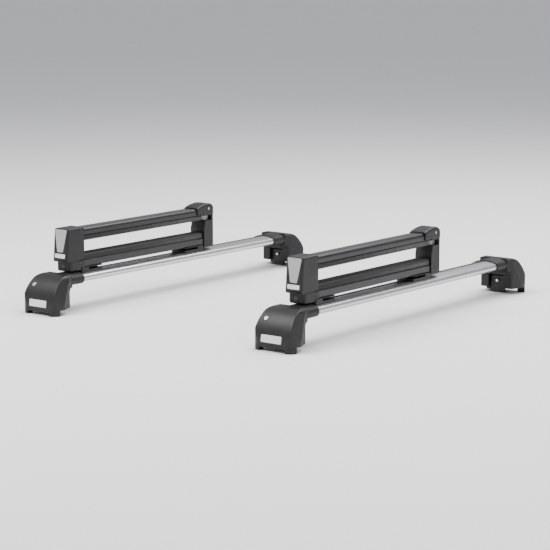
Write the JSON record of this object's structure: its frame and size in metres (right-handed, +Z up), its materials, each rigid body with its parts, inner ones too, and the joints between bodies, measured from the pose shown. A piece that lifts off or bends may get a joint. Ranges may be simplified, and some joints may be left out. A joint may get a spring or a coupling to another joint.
{
  "type": "roof ski rack",
  "caption": "Roof ski rack: aerofoil crossbars on clamping rail feet, with hinged, padded arms that latch shut over skis laid between them.",
  "frame": {"origin": "on the surface that the feet stand on, midway between the four feet", "axes": "+X forward along the car, +Y to the car's left, along the crossbars, +Z up"},
  "size_m": [0.882, 1.068, 0.223],
  "materials": {
    "bar_aluminium": "satin anodised, drawn along its length",
    "arm_aluminium": "black anodised, satin",
    "strip_rubber": "matte extruded rubber",
    "grip_rubber": "soft ribbed rubber",
    "rail_pad_rubber": "matte moulded rubber",
    "foot_plastic": "fine moulded grain",
    "cover_plastic": "satin moulded grain",
    "cap_plastic": "fine moulded grain",
    "button_plastic": "satin moulded grain",
    "lever_plastic": "glass filled, matte",
    "slider_metal": "die cast and tumbled",
    "zinc_steel": "bright zinc plated",
    "coated_steel": "black electro-coat, satin",
    "dark_lock_metal": "black chromated, satin",
    "lock_metal": "nickel plated, satin"
  },
  "bodies": {
    "rack": {"slot_strips": "strip_rubber", "rail_pads": "rail_pad_rubber", "lower_pads": "grip_rubber", "latch_racks": "zinc_steel", "hinge_towers": "cap_plastic", "mount_saddles": "cap_plastic", "front_crossbar": "bar_aluminium", "front_lower_arm": "arm_aluminium", "front_lower_end_cap": "cap_plastic", "front_right_foot_base": "foot_plastic", "front_left_foot_base": "foot_plastic", "rear_crossbar": "bar_aluminium", "rear_lower_arm": "arm_aluminium", "rear_lower_end_cap": "cap_plastic", "rear_right_foot_base": "foot_plastic", "rear_left_foot_base": "foot_plastic"},
    "front_slider": {"front_hinge_slider": "slider_metal", "front_hinge_pin": "zinc_steel"},
    "front_upper": {"front_upper_arm": "arm_aluminium", "front_upper_pad": "grip_rubber", "front_upper_hinge_cap": "cap_plastic", "front_latch_housing": "cap_plastic", "front_button_spring": "zinc_steel"},
    "front_button": {"front_latch_button": "button_plastic"},
    "front_pawl": {"front_latch_pawl": "zinc_steel"},
    "front_lock": {"front_carrier_lock": "dark_lock_metal"},
    "front_right_cover": {"front_right_foot_cover": "cover_plastic"},
    "front_right_key": {"front_right_cover_lock": "lock_metal"},
    "front_right_screw": {"front_right_clamp_screw": "zinc_steel"},
    "front_right_jaw": {"front_right_clamp_jaw": "coated_steel"},
    "front_right_lever": {"front_right_clamp_lever": "lever_plastic"},
    "front_right_bolt": {"front_right_t_bolt": "zinc_steel"},
    "front_left_cover": {"front_left_foot_cover": "cover_plastic"},
    "front_left_key": {"front_left_cover_lock": "lock_metal"},
    "front_left_screw": {"front_left_clamp_screw": "zinc_steel"},
    "front_left_jaw": {"front_left_clamp_jaw": "coated_steel"},
    "front_left_lever": {"front_left_clamp_lever": "lever_plastic"},
    "front_left_bolt": {"front_left_t_bolt": "zinc_steel"},
    "rear_slider": {"rear_hinge_slider": "slider_metal", "rear_hinge_pin": "zinc_steel"},
    "rear_upper": {"rear_upper_arm": "arm_aluminium", "rear_upper_pad": "grip_rubber", "rear_upper_hinge_cap": "cap_plastic", "rear_latch_housing": "cap_plastic", "rear_button_spring": "zinc_steel"},
    "rear_button": {"rear_latch_button": "button_plastic"},
    "rear_pawl": {"rear_latch_pawl": "zinc_steel"},
    "rear_lock": {"rear_carrier_lock": "dark_lock_metal"},
    "rear_right_cover": {"rear_right_foot_cover": "cover_plastic"},
    "rear_right_key": {"rear_right_cover_lock": "lock_metal"},
    "rear_right_screw": {"rear_right_clamp_screw": "zinc_steel"},
    "rear_right_jaw": {"rear_right_clamp_jaw": "coated_steel"},
    "rear_right_lever": {"rear_right_clamp_lever": "lever_plastic"},
    "rear_right_bolt": {"rear_right_t_bolt": "zinc_steel"},
    "rear_left_cover": {"rear_left_foot_cover": "cover_plastic"},
    "rear_left_key": {"rear_left_cover_lock": "lock_metal"},
    "rear_left_screw": {"rear_left_clamp_screw": "zinc_steel"},
    "rear_left_jaw": {"rear_left_clamp_jaw": "coated_steel"},
    "rear_left_lever": {"rear_left_clamp_lever": "lever_plastic"},
    "rear_left_bolt": {"rear_left_t_bolt": "zinc_steel"}
  },
  "joints": [
    {"name": "front_hinge_lift", "type": "slide", "parent": "rack", "child": "front_slider", "axis": [0, 0, 1], "range_m": [0, 0.03]},
    {"name": "front_arm_hinge", "type": "hinge", "parent": "front_slider", "child": "front_upper", "pos_m": [0.38, 0.126, 0.208], "axis": [-1, 0, 0], "range_deg": [0, 75]},
    {"name": "front_button_press", "type": "slide", "parent": "front_upper", "child": "front_button", "axis": [0, 1, 0], "range_m": [0, 0.005], "stiffness_N_per_m": 800, "springref_m": -0.003, "deforming": ["front_button_spring"]},
    {"name": "front_pawl_rock", "type": "hinge", "parent": "front_upper", "child": "front_pawl", "pos_m": [0.38, -0.427, 0.16], "axis": [-1, 0, 0], "range_deg": [0, 9]},
    {"name": "front_carrier_lock_turn", "type": "hinge", "parent": "rack", "child": "front_lock", "pos_m": [0.38, -0.439, 0.114], "axis": [0, -1, 0], "range_deg": [0, 90]},
    {"name": "front_right_cover_swing", "type": "hinge", "parent": "rack", "child": "front_right_cover", "pos_m": [0.38, -0.47, 0.099], "axis": [-1, 0, 0], "range_deg": [0, 60]},
    {"name": "front_right_cover_lock_turn", "type": "hinge", "parent": "front_right_cover", "child": "front_right_key", "pos_m": [0.35, -0.516, 0.075], "axis": [0, -0.766, 0.6428], "range_deg": [0, 90]},
    {"name": "front_right_screw_turn", "type": "hinge", "parent": "rack", "child": "front_right_screw", "pos_m": [0.38, -0.5, 0.034], "axis": [0, -1, 0], "range_deg": [0, 1440]},
    {"name": "front_right_jaw_slide", "type": "slide", "parent": "rack", "child": "front_right_jaw", "axis": [0, 1, 0], "range_m": [0, 0.005]},
    {"name": "front_right_lever_turn", "type": "hinge", "parent": "rack", "child": "front_right_lever", "pos_m": [0.38, -0.356, 0.1035], "axis": [0, 0, -1], "range_deg": [0, 90]},
    {"name": "front_right_bolt_drop", "type": "slide", "parent": "rack", "child": "front_right_bolt", "axis": [0, 0, -1], "range_m": [0, 0.002]},
    {"name": "front_left_cover_swing", "type": "hinge", "parent": "rack", "child": "front_left_cover", "pos_m": [0.38, 0.47, 0.099], "axis": [1, 0, 0], "range_deg": [0, 60]},
    {"name": "front_left_cover_lock_turn", "type": "hinge", "parent": "front_left_cover", "child": "front_left_key", "pos_m": [0.35, 0.516, 0.075], "axis": [0, 0.766, 0.6428], "range_deg": [0, 90]},
    {"name": "front_left_screw_turn", "type": "hinge", "parent": "rack", "child": "front_left_screw", "pos_m": [0.38, 0.5, 0.034], "axis": [0, 1, 0], "range_deg": [0, 1440]},
    {"name": "front_left_jaw_slide", "type": "slide", "parent": "rack", "child": "front_left_jaw", "axis": [0, -1, 0], "range_m": [0, 0.005]},
    {"name": "front_left_lever_turn", "type": "hinge", "parent": "rack", "child": "front_left_lever", "pos_m": [0.38, 0.06, 0.1035], "axis": [0, 0, 1], "range_deg": [0, 90]},
    {"name": "front_left_bolt_drop", "type": "slide", "parent": "rack", "child": "front_left_bolt", "axis": [0, 0, -1], "range_m": [0, 0.002]},
    {"name": "rear_hinge_lift", "type": "slide", "parent": "rack", "child": "rear_slider", "axis": [0, 0, 1], "range_m": [0, 0.03]},
    {"name": "rear_arm_hinge", "type": "hinge", "parent": "rear_slider", "child": "rear_upper", "pos_m": [-0.38, 0.126, 0.208], "axis": [-1, 0, 0], "range_deg": [0, 75]},
    {"name": "rear_button_press", "type": "slide", "parent": "rear_upper", "child": "rear_button", "axis": [0, 1, 0], "range_m": [0, 0.005], "stiffness_N_per_m": 800, "springref_m": -0.003, "deforming": ["rear_button_spring"]},
    {"name": "rear_pawl_rock", "type": "hinge", "parent": "rear_upper", "child": "rear_pawl", "pos_m": [-0.38, -0.427, 0.16], "axis": [-1, 0, 0], "range_deg": [0, 9]},
    {"name": "rear_carrier_lock_turn", "type": "hinge", "parent": "rack", "child": "rear_lock", "pos_m": [-0.38, -0.439, 0.114], "axis": [0, -1, 0], "range_deg": [0, 90]},
    {"name": "rear_right_cover_swing", "type": "hinge", "parent": "rack", "child": "rear_right_cover", "pos_m": [-0.38, -0.47, 0.099], "axis": [-1, 0, 0], "range_deg": [0, 60]},
    {"name": "rear_right_cover_lock_turn", "type": "hinge", "parent": "rear_right_cover", "child": "rear_right_key", "pos_m": [-0.41, -0.516, 0.075], "axis": [0, -0.766, 0.6428], "range_deg": [0, 90]},
    {"name": "rear_right_screw_turn", "type": "hinge", "parent": "rack", "child": "rear_right_screw", "pos_m": [-0.38, -0.5, 0.034], "axis": [0, -1, 0], "range_deg": [0, 1440]},
    {"name": "rear_right_jaw_slide", "type": "slide", "parent": "rack", "child": "rear_right_jaw", "axis": [0, 1, 0], "range_m": [0, 0.005]},
    {"name": "rear_right_lever_turn", "type": "hinge", "parent": "rack", "child": "rear_right_lever", "pos_m": [-0.38, -0.356, 0.1035], "axis": [0, 0, -1], "range_deg": [0, 90]},
    {"name": "rear_right_bolt_drop", "type": "slide", "parent": "rack", "child": "rear_right_bolt", "axis": [0, 0, -1], "range_m": [0, 0.002]},
    {"name": "rear_left_cover_swing", "type": "hinge", "parent": "rack", "child": "rear_left_cover", "pos_m": [-0.38, 0.47, 0.099], "axis": [1, 0, 0], "range_deg": [0, 60]},
    {"name": "rear_left_cover_lock_turn", "type": "hinge", "parent": "rear_left_cover", "child": "rear_left_key", "pos_m": [-0.41, 0.516, 0.075], "axis": [0, 0.766, 0.6428], "range_deg": [0, 90]},
    {"name": "rear_left_screw_turn", "type": "hinge", "parent": "rack", "child": "rear_left_screw", "pos_m": [-0.38, 0.5, 0.034], "axis": [0, 1, 0], "range_deg": [0, 1440]},
    {"name": "rear_left_jaw_slide", "type": "slide", "parent": "rack", "child": "rear_left_jaw", "axis": [0, -1, 0], "range_m": [0, 0.005]},
    {"name": "rear_left_lever_turn", "type": "hinge", "parent": "rack", "child": "rear_left_lever", "pos_m": [-0.38, 0.06, 0.1035], "axis": [0, 0, 1], "range_deg": [0, 90]},
    {"name": "rear_left_bolt_drop", "type": "slide", "parent": "rack", "child": "rear_left_bolt", "axis": [0, 0, -1], "range_m": [0, 0.002]}
  ],
  "couplings": [
    {"joint": "front_pawl_rock", "follows": "front_button_press", "rad_per_m": 31.25},
    {"joint": "front_right_screw_turn", "follows": "front_right_jaw_slide", "rad_per_m": 5026.5},
    {"joint": "front_right_lever_turn", "follows": "front_right_bolt_drop", "rad_per_m": 785.3},
    {"joint": "front_left_screw_turn", "follows": "front_left_jaw_slide", "rad_per_m": 5026.5},
    {"joint": "front_left_lever_turn", "follows": "front_left_bolt_drop", "rad_per_m": 785.3},
    {"joint": "rear_pawl_rock", "follows": "rear_button_press", "rad_per_m": 31.25},
    {"joint": "rear_right_screw_turn", "follows": "rear_right_jaw_slide", "rad_per_m": 5026.5},
    {"joint": "rear_right_lever_turn", "follows": "rear_right_bolt_drop", "rad_per_m": 785.3},
    {"joint": "rear_left_screw_turn", "follows": "rear_left_jaw_slide", "rad_per_m": 5026.5},
    {"joint": "rear_left_lever_turn", "follows": "rear_left_bolt_drop", "rad_per_m": 785.3}
  ]
}
